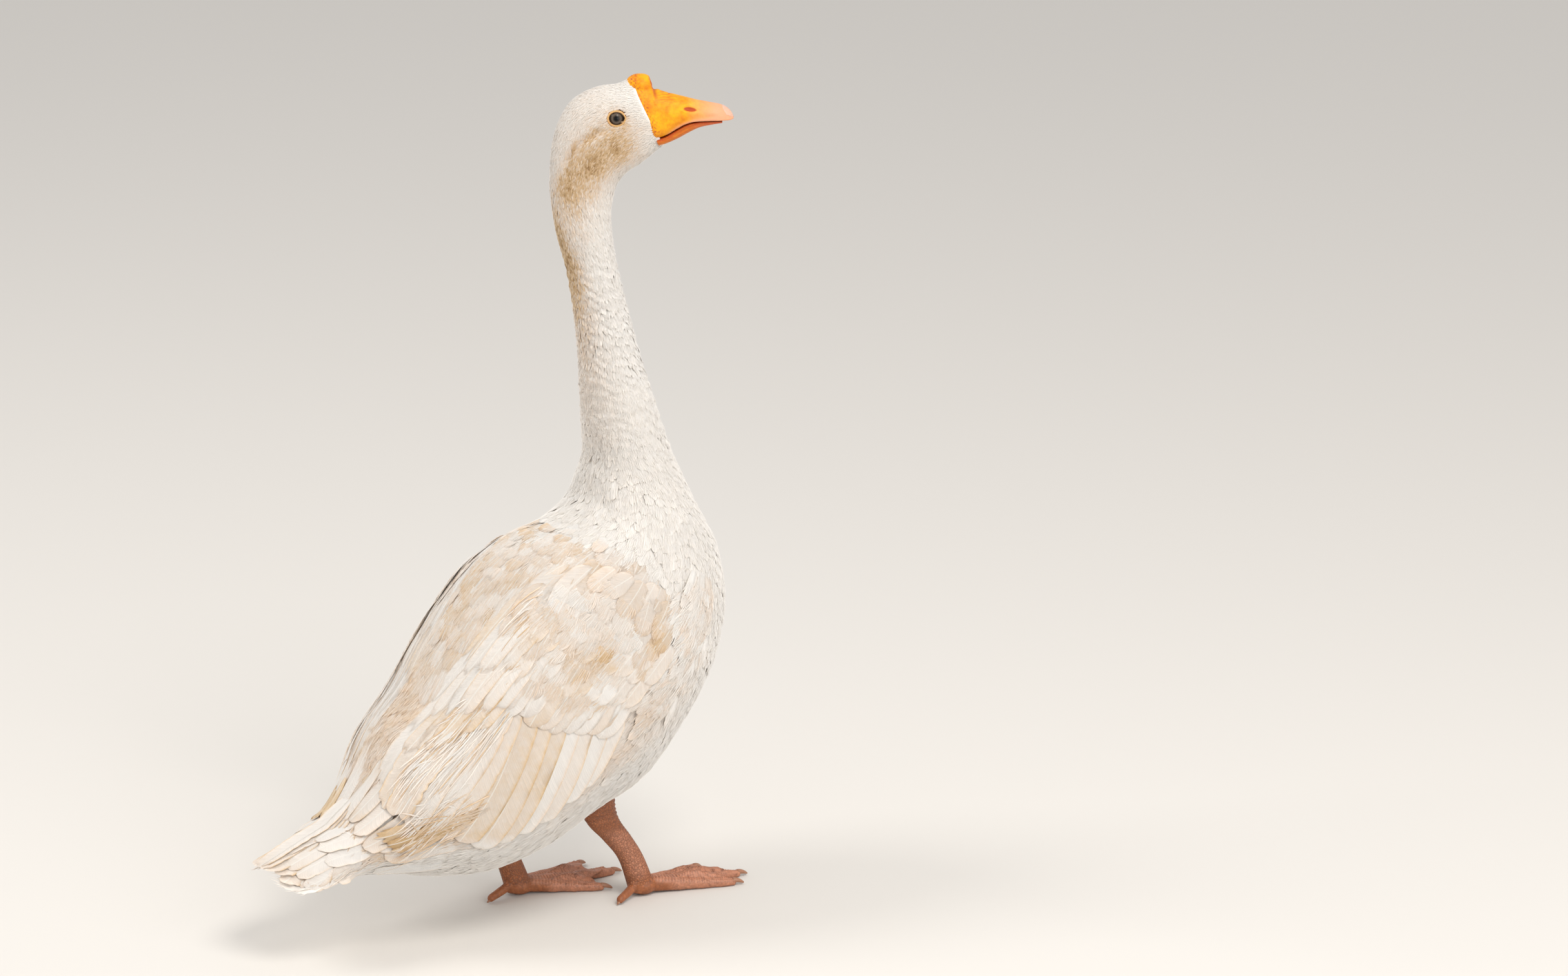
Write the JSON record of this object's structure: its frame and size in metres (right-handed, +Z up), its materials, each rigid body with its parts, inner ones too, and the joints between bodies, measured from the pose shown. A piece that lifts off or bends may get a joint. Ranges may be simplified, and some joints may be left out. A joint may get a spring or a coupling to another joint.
{
  "type": "domestic goose",
  "caption": "Life-size adult white knobbed domestic goose standing alert, neck up and head turned to its right, wings folded, webbed feet flat on the floor.",
  "frame": {"origin": "on the floor under the middle of the bird's bounding box", "axes": "+Z up, -Y the way the body faces, +X to the bird's left; the head is turned 33 degrees to the bird's right"},
  "size_m": [0.2154, 0.469, 0.7329],
  "materials": {
    "white_feather": "matte",
    "orange_bill": "satin",
    "pale_nail": "satin",
    "eye": "glossy",
    "orange_leg": "matte",
    "horn_claw": "satin"
  },
  "bodies": {
    "root": {"tail": "white_feather", "trunk": "white_feather", "neck_lower": "white_feather", "neck_upper": "white_feather", "head": "white_feather", "wing_left": "white_feather", "wing_right": "white_feather", "bill_upper": "orange_bill", "bill_lower": "orange_bill", "knob": "orange_bill", "bill_nail": "pale_nail", "eye_left": "eye", "eye_right": "eye", "shank_left": "orange_leg", "shank_right": "orange_leg", "thigh_left": "orange_leg", "thigh_right": "orange_leg", "foot_left": "orange_leg", "foot_right": "orange_leg", "hind_toe_left": "orange_leg", "hind_toe_right": "orange_leg", "claw_left_outer": "horn_claw", "claw_left_middle": "horn_claw", "claw_left_inner": "horn_claw", "claw_right_outer": "horn_claw", "claw_right_middle": "horn_claw", "claw_right_inner": "horn_claw"}
  },
  "joints": []
}
